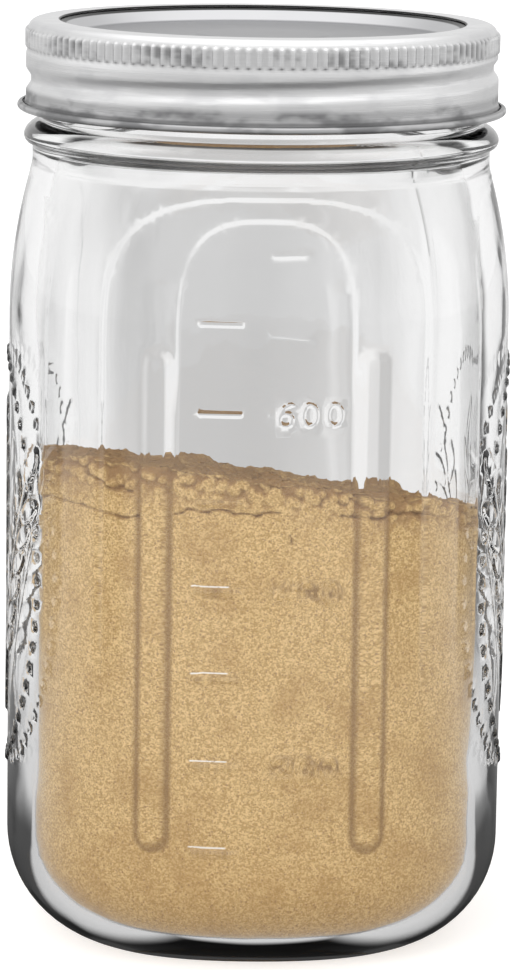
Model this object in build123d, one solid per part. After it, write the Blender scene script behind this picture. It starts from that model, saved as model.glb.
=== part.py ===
"""A wide-mouth glass jar of dry sourdough starter, closed by a flat lid and a screw band.

Sizes are in millimetres. The origin is the centre of the jar's foot, +Z is up, and the
side with the raised scale faces -Y. Each separate piece goes to its own STEP file.
"""
from build123d import *
from math import cos, pi, sin
import os

# Glass jar: the body is a square with crowned sides and round corners
FLAT_HALF = 47.6          # axis to the middle of a flattened side
CORNER_SWELL = 2.4        # how much further out a rounded corner lies
WALL = 4.8
FLOOR = 5.5               # glass between the table and the starter
HEEL_RADIUS = 18.8        # round edge between the side and the foot
FOOT_RADIUS = 26.0        # inner edge of the ring that the jar stands on
PUSH_UP = 2.5             # hollow under the jar, at its centre
BODY_TOP = 119.0          # where the straight sides end
SHOULDER_HEIGHT = 29.0
OUTLINE_POINTS = 24       # points of the spline round the body
SHOULDER_STEPS = 5

# Neck and finish of the glass
MOUTH_RADIUS = 38.1
FINISH_WALL = 3.7         # mouth to the root of the thread
NECK_STEP = 1.5           # how far the neck's skirt stands out from the thread's root
SKIRT_HEIGHT = 3.0
RING_PROUD = 1.5          # transfer ring beyond the skirt
RING_HEIGHT = 5.2
FINISH_HEIGHT = 16.8      # transfer ring to the rim
RIM_ROUND = 1.1

# Thread, shared by the glass and the band
PITCH = 6.35
THREAD_HEIGHT = 1.6       # glass thread, beyond its root
THREAD_ROOT_WIDTH = 2.3
THREAD_CREST_WIDTH = 0.9
THREAD_TURNS = 1.15
THREAD_LEAD_IN = 34.0     # degrees by which the glass thread starts before the groove
THREAD_BURY = 0.4         # how deep the glass thread is rooted in the neck
FLANK_GAP = 1.65          # groove's centre up to the glass thread's centre
GROOVE_TURNS = 1.0
GROOVE_DEPTH = 1.2        # groove pressed into the band
GROOVE_MOUTH = 2.6
GROOVE_FLOOR = 0.6
GROOVE_START = 90.0       # degrees from +X, at the groove's lower end
GROOVE_BELOW_RIM = 11.2   # rim down to the groove's lower end

# Closure
BAND_SHEET = 0.4
BAND_HEIGHT = 16.8
BAND_CLEARANCE = 0.8      # thread's crest to the inside of the band
BAND_EDGE = 6.4           # width of the flat edge that holds the lid down
BAND_CORNER = 1.6
FLARE = 1.1               # how far the skirt opens out to the bead
FLARE_HEIGHT = 1.6
BEAD_RADIUS = 0.7
KNURLS = 140
KNURL_PROUD = 0.4
KNURL_WIDTH = 1.1
KNURL_TOP = 2.0           # below the top of the band
KNURL_HEIGHT = 3.6
LID_SHEET = 0.35
LID_GAP = 1.0             # lid's edge to the inside of the band
LID_PANEL_DEPTH = 2.4
LID_SLOPE_INSET = 0.6     # mouth to the top of the lid's slope
LID_SLOPE = 2.3
LID_BUTTON_RADIUS = 12.0
LID_BUTTON_HEIGHT = 0.5
LID_CURL = 0.9            # lid's edge turned down
LID_BEND = 0.4
SEAL_THICKNESS = 0.8
SEAL_INSET = 0.3          # mouth to the inner edge of the seal
SEAT_GAP = 0.1            # between pieces that press on each other

# Dry starter
FILL_HEIGHT = 87.6        # at the jar's axis
FILL_GAP = 0.3
FILL_FALL = (0.127, 0.16)  # the powder lies lower towards +X and towards the back, +Y

# Raised scale and ornament
RIB_RAISE = 0.8
RIB_SPACING = 39.0
RIB_WIDTH = 4.3
RIB_MARGIN = 0.5          # rib's top below the end of the straight sides
MARK_RAISE = 0.5
MARK_VOLUME = 100_000.0   # 100 ml
MARKS = 7
MARK_LENGTH = 8.3
MARK_WIDTH = 1.0
MARK_X = -8.4
HEEL_LOSS = 20_500.0      # room that the thick round heel takes below the lowest mark
EAR_RAISE = 0.6
EAR_HEIGHT = 62.0
EAR_STEM = 1.6
GRAIN_LENGTH = 8.4
GRAIN_WIDTH = 3.6
GRAIN_PAIRS = 6
GRAIN_STEP = 6.0
GRAIN_TILT = 27.0         # degrees from the stem

# Places that follow from these
shoulder_top = BODY_TOP + SHOULDER_HEIGHT
ring_bottom = shoulder_top + SKIRT_HEIGHT
ring_top = ring_bottom + RING_HEIGHT
rim = ring_top + FINISH_HEIGHT
root_radius = MOUTH_RADIUS + FINISH_WALL
skirt_radius = root_radius + NECK_STEP
crest_radius = root_radius + THREAD_HEIGHT
seal_bottom = rim + SEAT_GAP
lid_top = seal_bottom + SEAL_THICKNESS + LID_SHEET
band_top = lid_top + SEAT_GAP + BAND_SHEET
band_bottom = band_top - BAND_HEIGHT
bead_z = band_bottom + BEAD_RADIUS
band_inner = crest_radius + BAND_CLEARANCE
band_outer = band_inner + BAND_SHEET
lid_radius = band_inner - LID_GAP
slope_radius = MOUTH_RADIUS - LID_SLOPE_INSET
groove_z = rim - GROOVE_BELOW_RIM


def rounded_square(flat_half, swell):
    """The body's outline: its radius swings between the flats and the corners."""
    points = []
    for i in range(OUTLINE_POINTS):
        angle = 2 * pi * i / OUTLINE_POINTS
        radius = flat_half + swell / 2 * (1 - cos(4 * angle))
        points.append((radius * cos(angle), radius * sin(angle)))
    return make_face(Spline(points, periodic=True))


def body_block(inset, bottom, heel=0.0):
    """The straight part of the body, inset from the outside of the jar."""
    outline = rounded_square(FLAT_HALF - inset, CORNER_SWELL)
    block = extrude(Pos(0, 0, bottom) * outline, amount=BODY_TOP - bottom)
    if heel:
        block = fillet(block.edges().group_by(Axis.Z)[0], heel)
    return block


def shoulder(inset):
    """The body's outline drawn in to the round neck along a gentle curve."""
    flat = FLAT_HALF - inset
    round_neck = skirt_radius - inset
    sections = []
    for step in range(SHOULDER_STEPS):
        share = step / SHOULDER_STEPS
        outline = rounded_square(
            flat - (flat - round_neck) * share**2, CORNER_SWELL * (1 - share**2)
        )
        sections.append(Pos(0, 0, BODY_TOP + SHOULDER_HEIGHT * share) * outline)
    sections.append(Pos(0, 0, shoulder_top) * Circle(round_neck))
    return loft(sections)


def turned(outline):
    """A solid turned round the jar's axis from a closed outline of radii and heights."""
    return revolve(Plane.XZ * make_face(outline), axis=Axis.Z)


def neck():
    """Skirt, transfer ring and plain finish, as a solid plug."""
    bulge = (skirt_radius + RING_PROUD, (ring_bottom + ring_top) / 2)
    rim_outer = root_radius - RIM_ROUND
    line = Polyline((0, rim), (0, shoulder_top), (skirt_radius, shoulder_top))
    line += Line((skirt_radius, shoulder_top), (skirt_radius, ring_bottom))
    line += ThreePointArc((skirt_radius, ring_bottom), bulge, (root_radius, ring_top))
    line += Line((root_radius, ring_top), (root_radius, rim - RIM_ROUND))
    line += RadiusArc((root_radius, rim - RIM_ROUND), (rim_outer, rim), -RIM_ROUND)
    line += Line((rim_outer, rim), (0, rim))
    return turned(line)


def bore():
    """The way in through the neck, with the rim's inner edge rounded."""
    above = rim + 1
    rim_inner = MOUTH_RADIUS + RIM_ROUND
    line = Polyline(
        (0, above), (0, shoulder_top), (skirt_radius - WALL, shoulder_top),
        (MOUTH_RADIUS, ring_top), (MOUTH_RADIUS, rim - RIM_ROUND),
    )
    line += RadiusArc((MOUTH_RADIUS, rim - RIM_ROUND), (rim_inner, rim), RIM_ROUND)
    line += Polyline((rim_inner, rim), (rim_inner, above), (0, above))
    return turned(line)


def foot_hollow():
    """The shallow dome under the jar."""
    below = -1.0
    line = Polyline((0, PUSH_UP), (0, below), (FOOT_RADIUS, below), (FOOT_RADIUS, 0))
    sphere_radius = (FOOT_RADIUS**2 + PUSH_UP**2) / (2 * PUSH_UP)
    line += RadiusArc((FOOT_RADIUS, 0), (0, PUSH_UP), -sphere_radius)
    return turned(line)


def helical_bar(radii, widths, start, z, turns):
    """A bar that follows the thread's helix, with round ends.

    radii are the section's inner and outer radius, widths its height at each of them,
    and start the angle in degrees and z the height at which its centre begins.
    """
    inner, outer = radii
    half_inner, half_outer = widths[0] / 2, widths[1] / 2
    section = Polyline(
        (inner, -half_inner), (inner, half_inner), (outer, half_outer), (outer, -half_outer),
        close=True,
    )
    path = Helix(pitch=PITCH, height=PITCH * turns, radius=inner)
    bar = sweep(Plane.XZ * make_face(section), path=path, is_frenet=True)
    end = Plane(origin=(inner, 0, 0), z_dir=(1, 0, 0)) * Cone(
        half_inner, half_outer, outer - inner, align=(Align.CENTER, Align.CENTER, Align.MIN)
    )
    far_end = Pos(0, 0, PITCH * turns) * Rot(0, 0, 360 * turns) * end
    return Pos(0, 0, z) * Rot(0, 0, start) * (bar + end + far_end)


def glass_thread():
    """One turn and a bit of thread, just above the ridge that the groove makes."""
    taper = (THREAD_ROOT_WIDTH - THREAD_CREST_WIDTH) / THREAD_HEIGHT
    return helical_bar(
        (root_radius - THREAD_BURY, crest_radius),
        (THREAD_ROOT_WIDTH + THREAD_BURY * taper, THREAD_CREST_WIDTH),
        GROOVE_START - THREAD_LEAD_IN,
        groove_z + FLANK_GAP - PITCH * THREAD_LEAD_IN / 360,
        THREAD_TURNS,
    )


def mark_height(volume):
    """Height to which the jar holds this volume, from the body's own inner section."""
    swing = CORNER_SWELL / 2
    mean = FLAT_HALF + swing - WALL
    area = pi * (mean**2 + swing**2 / 2)
    return FLOOR + (volume + HEEL_LOSS) / area


def ribs():
    """Two upright bars that frame the scale."""
    low = mark_height(MARK_VOLUME)
    high = BODY_TOP - RIB_MARGIN
    bar = Pos(0, (low + high) / 2) * Rot(0, 0, 90) * SlotOverall(high - low, RIB_WIDTH)
    return Pos(-RIB_SPACING / 2, 0) * bar + Pos(RIB_SPACING / 2, 0) * bar


def scale_marks():
    """A dash for each 100 ml."""
    marks = Sketch()
    for i in range(1, MARKS + 1):
        place = Pos(MARK_X, mark_height(i * MARK_VOLUME))
        marks += place * SlotOverall(MARK_LENGTH, MARK_WIDTH)
    return marks


def wheat_ear():
    """A plain ear of wheat: a stem with pairs of grains and one at its tip."""
    middle = (mark_height(MARK_VOLUME) + BODY_TOP) / 2
    tip = (EAR_HEIGHT - GRAIN_LENGTH) / 2
    grain = Ellipse(GRAIN_WIDTH / 2, GRAIN_LENGTH / 2)
    ear = Rot(0, 0, 90) * SlotOverall(2 * tip, EAR_STEM) + Pos(0, tip) * grain
    for i in range(GRAIN_PAIRS):
        height = tip - GRAIN_LENGTH / 2 - GRAIN_STEP * i
        for side in (-1, 1):
            leaning = Rot(0, 0, -side * GRAIN_TILT) * grain
            ear += Pos(side * GRAIN_WIDTH * 0.8, height) * leaning
    return Pos(0, middle) * ear


def raised(sketch, amount, turns):
    """A sketch raised from some sides of the jar, as pieces that follow its curve."""
    skin = body_block(-amount, HEEL_RADIUS) + shoulder(-amount)
    rooted = WALL / 2
    skin -= body_block(rooted, 0) + shoulder(rooted)
    shape = extrude(Plane.XZ * sketch, amount=FLAT_HALF + CORNER_SWELL) & skin
    pieces = []
    for turn in turns:
        pieces += (Rot(0, 0, turn) * shape).solids()
    return pieces


def glass_jar():
    """The moulded jar with its hollow, thread, scale and ornament."""
    jar = body_block(0, 0, HEEL_RADIUS) + shoulder(0) + neck() - foot_hollow()
    jar -= body_block(WALL, FLOOR, HEEL_RADIUS - WALL) + shoulder(WALL) + bore()
    jar += raised(ribs(), RIB_RAISE, (0, 180))
    jar += raised(scale_marks(), MARK_RAISE, (0, 180))
    jar += raised(wheat_ear(), EAR_RAISE, (90, -90))
    return jar + glass_thread()


def starter_fill():
    """The powder: it follows the inside of the jar and slopes at the top."""
    inset = WALL + FILL_GAP
    powder = body_block(inset, FLOOR + FILL_GAP, HEEL_RADIUS - inset)
    surface = Plane(origin=(0, 0, FILL_HEIGHT), z_dir=(*FILL_FALL, 1))
    return split(powder, bisect_by=surface, keep=Keep.BOTTOM)


def lid_disc():
    """A flat lid pressed from sheet: edge, slope, sunken panel and centre button."""
    panel = lid_top - LID_PANEL_DEPTH
    button = panel + LID_BUTTON_HEIGHT
    face = FilletPolyline(
        (0, button), (LID_BUTTON_RADIUS, button),
        (LID_BUTTON_RADIUS + 2 * LID_BUTTON_HEIGHT, panel),
        (slope_radius - LID_SLOPE, panel), (slope_radius, lid_top),
        (lid_radius, lid_top), (lid_radius, lid_top - LID_CURL),
        radius=LID_BEND,
    )
    return turned(offset(face, amount=LID_SHEET, side=Side.RIGHT, closed=True))


def seal_ring():
    """The soft ring between the lid's edge and the rim of the glass."""
    inner = MOUTH_RADIUS + SEAL_INSET
    outer = lid_radius - LID_SHEET - LID_BEND
    top = seal_bottom + SEAL_THICKNESS
    return turned(Polyline(
        (inner, seal_bottom), (outer, seal_bottom), (outer, top), (inner, top), close=True,
    ))


def band_plug(radius, top, corner):
    """A plug with the band's shape: flat top, round corner, wall and flared skirt."""
    flared = radius + FLARE
    line = Polyline((0, bead_z), (0, top), (radius - corner, top))
    line += RadiusArc((radius - corner, top), (radius, top - corner), corner)
    line += Polyline(
        (radius, top - corner), (radius, bead_z + FLARE_HEIGHT), (flared, bead_z), (0, bead_z)
    )
    return turned(line)


def pressed_groove():
    """The groove outside the band."""
    beyond = 0.5
    flank = (GROOVE_MOUTH - GROOVE_FLOOR) / GROOVE_DEPTH
    return helical_bar(
        (band_outer - GROOVE_DEPTH, band_outer + beyond),
        (GROOVE_FLOOR, GROOVE_MOUTH + beyond * flank),
        GROOVE_START, groove_z, GROOVE_TURNS,
    )


def pressed_ridge():
    """The ridge that the groove makes inside the band: a sheet's thickness wider."""
    rooted = BAND_SHEET / 2
    flank = (GROOVE_MOUTH - GROOVE_FLOOR) / GROOVE_DEPTH
    return helical_bar(
        (band_inner - GROOVE_DEPTH, band_inner + rooted),
        (GROOVE_FLOOR + BAND_SHEET, GROOVE_MOUTH + BAND_SHEET + rooted * flank),
        GROOVE_START, groove_z, GROOVE_TURNS,
    )


def knurls():
    """The upright grip bars round the top of the band."""
    bar = Box(2 * KNURL_PROUD, KNURL_WIDTH, KNURL_HEIGHT)
    place = Pos(band_outer, 0, band_top - KNURL_TOP - KNURL_HEIGHT / 2)
    return [Rot(0, 0, 360 * i / KNURLS) * place * bar for i in range(KNURLS)]


def screw_band():
    """The open band with its pressed thread, knurled strip and rolled bead."""
    hollow = band_plug(band_inner, band_top - BAND_SHEET, BAND_CORNER - BAND_SHEET)
    window = Pos(0, 0, band_top) * Cylinder(band_outer - BAND_EDGE, 4 * BAND_SHEET)
    bead = Pos(0, 0, bead_z) * Torus(band_outer + FLARE - BAND_SHEET / 2, BEAD_RADIUS)
    band = band_plug(band_outer, band_top, BAND_CORNER) - pressed_groove()
    return band - (hollow - pressed_ridge()) - window + bead + knurls()


os.makedirs("parts", exist_ok=True)
for make in (glass_jar, starter_fill, lid_disc, seal_ring, screw_band):
    export_step(make(), f"parts/{make.__name__}.step")
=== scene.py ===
"""A wide-mouth glass jar of dry sourdough starter, with its camera and its stage.

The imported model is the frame: each piece here stands where its node is and rides on its
body. Lengths are in metres, and the side of the jar with the scale faces -Y.
"""
import math

import bmesh
import bpy
import numpy as np
from bpy.props import FloatProperty, FloatVectorProperty, IntProperty, PointerProperty
from bpy.types import Operator, Panel, PropertyGroup
from mathutils import Matrix, Vector, noise


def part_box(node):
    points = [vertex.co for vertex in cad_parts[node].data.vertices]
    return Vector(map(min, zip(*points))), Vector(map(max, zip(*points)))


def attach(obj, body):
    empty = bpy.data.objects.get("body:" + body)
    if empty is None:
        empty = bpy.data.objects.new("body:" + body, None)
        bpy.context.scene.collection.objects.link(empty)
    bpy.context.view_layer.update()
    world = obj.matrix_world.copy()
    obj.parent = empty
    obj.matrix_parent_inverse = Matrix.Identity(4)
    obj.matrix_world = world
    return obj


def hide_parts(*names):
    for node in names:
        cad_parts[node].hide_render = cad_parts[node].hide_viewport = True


bl_info = {
    "name": "Sourdough Starter Jar",
    "version": (1, 0, 0),
    "blender": (4, 5, 0),
    "location": "3D View > Sidebar > Starter Jar",
    "description": "Builds a glass jar of dry starter round its packed model",
    "category": "Object",
}

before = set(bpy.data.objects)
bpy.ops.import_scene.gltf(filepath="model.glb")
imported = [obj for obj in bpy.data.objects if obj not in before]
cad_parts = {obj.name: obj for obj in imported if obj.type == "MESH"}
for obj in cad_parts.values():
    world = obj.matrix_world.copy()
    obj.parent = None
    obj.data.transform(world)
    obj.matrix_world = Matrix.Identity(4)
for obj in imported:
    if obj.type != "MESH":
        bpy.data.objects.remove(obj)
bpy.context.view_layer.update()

MM = 0.001
WHITE = (1.0, 1.0, 1.0, 1.0)
SHARP_ANGLE = math.radians(50)


# Properties

def size(name, description, millimetres):
    """A length that is written in millimetres and held in metres."""
    return FloatProperty(
        name=name, description=description, default=millimetres * MM, unit="LENGTH", precision=5
    )


def degrees(name, description, angle):
    """An angle that is written in degrees."""
    return FloatProperty(
        name=name, description=description, default=math.radians(angle), subtype="ANGLE"
    )


def number(name, description, value):
    """A plain number."""
    return FloatProperty(name=name, description=description, default=value)


def colour(name, description, *value):
    """An opaque linear colour."""
    return FloatVectorProperty(
        name=name, description=description, default=(*value, 1.0), size=4, subtype="COLOR",
        min=0.0, max=1.0,
    )


class GlassSizes(PropertyGroup):
    """The moulded glass. Its height comes from the frame."""

    flat_half: size("Flat", "Axis to the middle of a flattened side", 47.6)
    corner_swell: size("Corner swell", "How much further out a rounded corner lies", 2.4)
    wall: size("Wall", "Thickness of the side", 4.8)
    floor: size("Floor", "Glass between the table and the starter", 4.4)
    heel: size("Heel", "Radius of the round edge above the foot", 18.8)
    foot: size("Foot", "Inner radius of the ring that the jar stands on", 26.0)
    push_up: size("Push-up", "Height of the hollow under the jar", 2.5)
    body_top: size("Body top", "Height at which the straight sides end", 119.0)
    shoulder: size("Shoulder", "Height of the shoulder", 29.0)
    mouth: size("Mouth", "Radius of the mouth", 38.1)
    finish_wall: size("Finish wall", "Mouth to the root of the thread", 3.7)
    neck_step: size("Neck step", "How far the skirt stands out from the thread's root", 1.5)
    skirt: size("Skirt", "Height of the plain skirt under the ring", 3.6)
    ring: size("Ring", "Height of the transfer ring", 4.2)
    ring_proud: size("Ring proud", "Transfer ring beyond the skirt", 1.5)
    rim_round: size("Rim round", "Radius of the rim's edges", 1.1)
    wave: size("Wave", "How uneven the inside of the glass is", 0.14)
    wave_length: size("Wave length", "Distance between waves inside the glass", 24.0)
    thread_pitch: size("Thread pitch", "Rise of the thread in one turn", 6.35)
    thread_height: size("Thread height", "Thread beyond its root", 1.6)
    thread_start: degrees("Thread start", "Where the thread's lower end lies", 56.0)
    thread_turns: number("Thread turns", "Turns of thread", 1.15)
    thread_below_rim: size("Thread below rim", "Rim down to the thread's lower end", 10.15)
    seam: size("Seam", "Height of the mould's seam", 0.1)
    seam_turn: degrees("Seam turn", "Seam's angle from the middle of the scale", 38.0)
    parting: size("Parting line", "Height of the line round the neck's foot", 0.09)


class MarkSizes(PropertyGroup):
    """What is raised from the glass: the scale with its ribs, the panels and the ornament."""

    first: size("First mark", "Height of the lowest mark", 25.3)
    step: size("Step", "From one mark to the next", 16.43)
    count: IntProperty(name="Marks", description="Number of marks", default=7)
    raise_marks: size("Mark height", "How far dashes and numbers stand out", 0.3)
    dash_x: size("Dash place", "Middle of the dashes", -8.4)
    dash_length: size("Dash length", "Length of a dash", 8.3)
    dash_width: size("Dash width", "Width of a dash", 0.9)
    number_x: size("Number place", "Left end of the numbers", 2.2)
    number_height: size("Number height", "Height of a numeral", 4.0)
    number_width: size("Number width", "Width of a numeral", 2.9)
    number_pitch: size("Number pitch", "From one numeral to the next", 4.5)
    number_stroke: size("Number stroke", "Width of a numeral's line", 0.75)
    rib_spacing: size("Rib spacing", "Between the ribs beside the scale", 39.0)
    rib_width: size("Rib width", "Width of a rib at half its height", 4.3)
    rib_height: size("Rib height", "How far a rib stands out", 0.5)
    rib_top: size("Rib top", "Height of a rib's upper end", 118.5)
    arch_half: size("Arch", "Half the width of the scale's arched field", 16.3)
    arch_crown: size("Arch crown", "Height of the arched field", 142.2)
    arch_spring: size("Arch spring", "Height at which the arch begins", 120.0)
    panel_half: size("Panel", "Half the width of a flattened side", 29.0)
    panel_crown: size("Panel crown", "Height of a flattened side", 146.0)
    panel_spring: size("Panel spring", "Height at which its arch begins", 121.0)
    panel_foot: size("Panel foot", "Height at which the panel begins to show", 36.0)
    panel_step: size("Panel step", "How far a panel lies back", 0.2)
    back_share: number("Back marks", "Height of the far side's marks beside the near ones", 0.35)
    ear_height: size("Ear height", "Length of an ear of wheat with its stem", 62.0)
    ear_raise: size("Ear raise", "How far the ornament stands out", 0.5)
    ear_lean: degrees("Ear lean", "How far the outer ears lean", 25.0)
    grain_length: size("Grain length", "Length of a grain of the ear", 8.4)
    grain_width: size("Grain width", "Width of a grain of the ear", 3.6)
    bead_oval: size("Bead oval", "Half the width of the oval of beads", 26.5)
    bead_size: size("Bead size", "Radius of a bead", 0.85)


class StarterSizes(PropertyGroup):
    """The powder: it follows the inside of the glass and has settled aslant."""

    gap: size("Gap", "Powder to the glass", 0.3)
    level: size("Level", "Height of the powder at the jar's axis", 87.6)
    fall_right: number("Fall right", "Slope down towards +X", 0.127)
    fall_back: number("Fall back", "Slope down towards +Y", 0.16)
    lumps: size("Lumps", "Height of the larger lumps", 1.2)
    crumbs: size("Crumbs", "Height of the crumbs", 0.9)
    loose: size("Loose layer", "Depth of the crumbly layer", 9.0)
    crack: size("Crack", "Depth of the cracks", 0.9)


class BandSizes(PropertyGroup):
    """The screw band. Its heights come from the frame."""

    sheet: size("Sheet", "Thickness of the sheet", 0.4)
    outer: size("Outer", "Radius of the band's wall", 44.6)
    opening: size("Opening", "Radius of the opening over the lid", 38.2)
    corner: size("Corner", "Radius of the upper corner", 1.9)
    flare: size("Flare", "How far the skirt opens out", 0.55)
    flare_height: size("Flare height", "Height of the flared part", 2.0)
    bead: size("Bead", "Radius of the rolled bead", 0.72)
    taper: size("Taper", "How much the wall is drawn in at the grip bars", 0.35)
    knurls: IntProperty(name="Knurls", description="Number of grip bars", default=140)
    knurl_proud: size("Knurl height", "How far a grip bar stands out", 0.5)
    knurl_width: size("Knurl width", "Width of a grip bar", 0.85)
    knurl_top: size("Knurl top", "Top of the band to the grip bars", 1.6)
    knurl_length: size("Knurl length", "Length of a grip bar", 3.6)
    groove_depth: size("Groove depth", "Depth of the pressed thread", 0.95)
    groove_width: size("Groove width", "Width of the pressed thread at half its depth", 2.6)
    groove_below: size("Groove below", "Top of the band to the groove's lower end", 12.7)
    groove_start: degrees("Groove start", "Where the groove's lower end lies", 90.0)


class LidSizes(PropertyGroup):
    """The flat lid. Its heights come from the frame."""

    sheet: size("Sheet", "Thickness of the sheet", 0.35)
    slope_outer: size("Slope", "Radius at the top of the slope", 37.5)
    slope_width: size("Slope width", "Width of the slope", 2.3)
    depth: size("Depth", "Lid's edge down to the panel", 2.4)
    button: size("Button", "Radius of the raised middle", 12.0)
    button_height: size("Button height", "Height of the raised middle", 0.5)
    bend: size("Bend", "Radius of the bends", 0.7)


class Finishes(PropertyGroup):
    """Colours of the materials and of the stage."""

    glass: colour("Glass", "Clear glass", 0.985, 0.985, 0.985)
    glass_deep: colour("Deep glass", "Where the glass is a little darker", 0.955, 0.955, 0.955)
    powder: colour("Powder", "Main colour of the starter", 0.46, 0.29, 0.105)
    powder_light: colour("Light grains", "Lightest grains", 0.78, 0.55, 0.265)
    powder_dark: colour("Dark grains", "Bran and shadowed grains", 0.30, 0.17, 0.075)
    tin: colour("Tin", "Bright tinplate", 0.80, 0.80, 0.80)
    tin_dark: colour("Dull tin", "Tinplate where it is dull", 0.60, 0.60, 0.61)
    # Also the colour of the painted shade in the gap between the band's opening and the lid
    cut_edge_and_gap_shade: colour("Cut edge", "Bare steel where the sheet was cut", 0.03, 0.03, 0.03)
    lid_face: colour("Lid panel", "Coated middle of the lid", 0.30, 0.30, 0.31)
    rubber: colour("Seal", "Sealing compound", 0.42, 0.43, 0.43)
    floor: colour("Floor", "Floor of the stage", 0.80, 0.80, 0.80)


class StageSizes(PropertyGroup):
    """The camera, the lamps and the floor."""

    camera_x: size("Camera X", "Camera's place along X", -26.7)
    camera_y: size("Camera Y", "Camera's place along Y", -799.6)
    camera_z: size("Camera Z", "Camera's height", 238.1)
    yaw: degrees("Yaw", "Camera turned towards +X", 1.93)
    pitch: degrees("Pitch", "Camera turned down", 10.79)
    roll: degrees("Roll", "Camera turned about its view", 0.85)
    lens: number("Lens", "Focal length in mm", 157.1)
    lamp_width: size("Lamp width", "Width of each soft lamp", 700.0)
    aim: size("Aim", "Height that the lamps point at", 90.0)
    floor_radius: size("Floor", "Radius of the floor", 4000.0)


class StarterJarSettings(PropertyGroup):
    """Everything that can be set about the jar."""

    glass: PointerProperty(type=GlassSizes)
    marks: PointerProperty(type=MarkSizes)
    starter: PointerProperty(type=StarterSizes)
    band: PointerProperty(type=BandSizes)
    lid: PointerProperty(type=LidSizes)
    finish: PointerProperty(type=Finishes)
    stage: PointerProperty(type=StageSizes)


# Shader nodes

def toned(value, *shares):
    """An opaque colour with its channels at one share, or at three, of their strength."""
    if len(shares) == 1:
        shares = shares * 3
    return tuple(min(1.0, x * share) for x, share in zip(value, shares)) + (1.0,)


class Socket:
    """A shader socket that can stand in plain arithmetic."""

    def __init__(self, nodes, socket):
        self.nodes = nodes
        self.socket = socket

    def __add__(self, other):
        return self.nodes.maths("ADD", self, other)

    def __sub__(self, other):
        return self.nodes.maths("SUBTRACT", self, other)

    def __rsub__(self, other):
        return self.nodes.maths("SUBTRACT", other, self)

    def __mul__(self, other):
        return self.nodes.maths("MULTIPLY", self, other)

    def __truediv__(self, other):
        return self.nodes.maths("DIVIDE", self, other)

    def __mod__(self, other):
        return self.nodes.maths("MODULO", self, other)

    def __abs__(self):
        return self.nodes.maths("ABSOLUTE", self)

    __radd__ = __add__
    __rmul__ = __mul__


class Nodes:
    """The node tree of one material or of the world."""

    def __init__(self, tree):
        self.tree = tree
        tree.nodes.clear()

    def add(self, kind, settings=None, sockets=None, output=None):
        """A new node: its settings come first, then its sockets' values or links."""
        node = self.tree.nodes.new("ShaderNode" + kind)
        for name, value in (settings or {}).items():
            setattr(node, name, value)
        for name, value in (sockets or {}).items():
            if isinstance(name, int):
                target = node.inputs[name]
            else:
                target = next(s for s in node.inputs if s.name == name and s.enabled)
            if isinstance(value, Socket):
                self.tree.links.new(value.socket, target)
            else:
                target.default_value = value
        if output is None:
            found = next((s for s in node.outputs if s.enabled), None)
        else:
            found = node.outputs[output]
        return Socket(self, found)

    def maths(self, operation, *values):
        """A Math node."""
        return self.add("Math", {"operation": operation}, dict(enumerate(values)))

    def larger(self, first, second):
        """The larger of two values."""
        return self.maths("MAXIMUM", first, second)

    def mix(self, factor, first, second):
        """One colour or the other."""
        return self.add(
            "Mix", {"data_type": "RGBA"}, {"Factor": factor, "A": first, "B": second}
        )

    def soft_step(self, value, low, high):
        """0 below low and 1 above high, smooth between, or falling where high is the lower."""
        if low > high:
            return 1 - self.soft_step(value, high, low)
        return self.add(
            "MapRange", {"interpolation_type": "SMOOTHSTEP"},
            {"Value": value, "From Min": low, "From Max": high},
        )

    def place(self, stretch=(1.0, 1.0, 1.0)):
        """Places on the object in metres, stretched along the axes."""
        here = self.add("TexCoord", output="Object")
        if stretch == (1.0, 1.0, 1.0):
            return here
        return self.add("Mapping", None, {"Vector": here, "Scale": stretch})

    def split(self, vector):
        """The three axes of a vector."""
        node = self.add("SeparateXYZ", None, {"Vector": vector}).socket.node
        return [Socket(self, output) for output in node.outputs]

    def clouds(self, where, width, detail=2.0, roughness=0.5):
        """Soft noise whose features are about this wide."""
        return self.add(
            "TexNoise", None,
            {"Vector": where, "Scale": 1 / width, "Detail": detail, "Roughness": roughness},
        )

    def cells(self, where, width):
        """Cells about this wide: red, green and blue at random, and the way to the middle."""
        voronoi = self.add("TexVoronoi", None, {"Vector": where, "Scale": 1 / width})
        outputs = voronoi.socket.node.outputs
        colours = self.add("SeparateColor", None, {"Color": Socket(self, outputs["Color"])})
        found = [*colours.socket.node.outputs, outputs["Distance"]]
        return [Socket(self, output) for output in found]

    def painted(self, name):
        """A value that is written on the mesh's vertices."""
        return self.add("Attribute", {"attribute_name": name}, output="Fac")

    def bump(self, height, distance):
        """A normal tilted by a height map."""
        return self.add(
            "Bump", None, {"Height": height, "Distance": distance, "Strength": 1.0}
        )

    def rays(self, kind):
        """1 for one kind of ray and 0 for the others."""
        return self.add("LightPath", output=f"Is {kind} Ray")

    def surface(self, sockets):
        """The Principled shader, as the material's surface."""
        shader = self.add("BsdfPrincipled", None, sockets)
        self.add("OutputMaterial", None, {"Surface": shader})
        return shader


def material(name):
    """A new material and its nodes."""
    made = bpy.data.materials.new(name)
    made.use_nodes = True
    return made, Nodes(made.node_tree)


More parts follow.
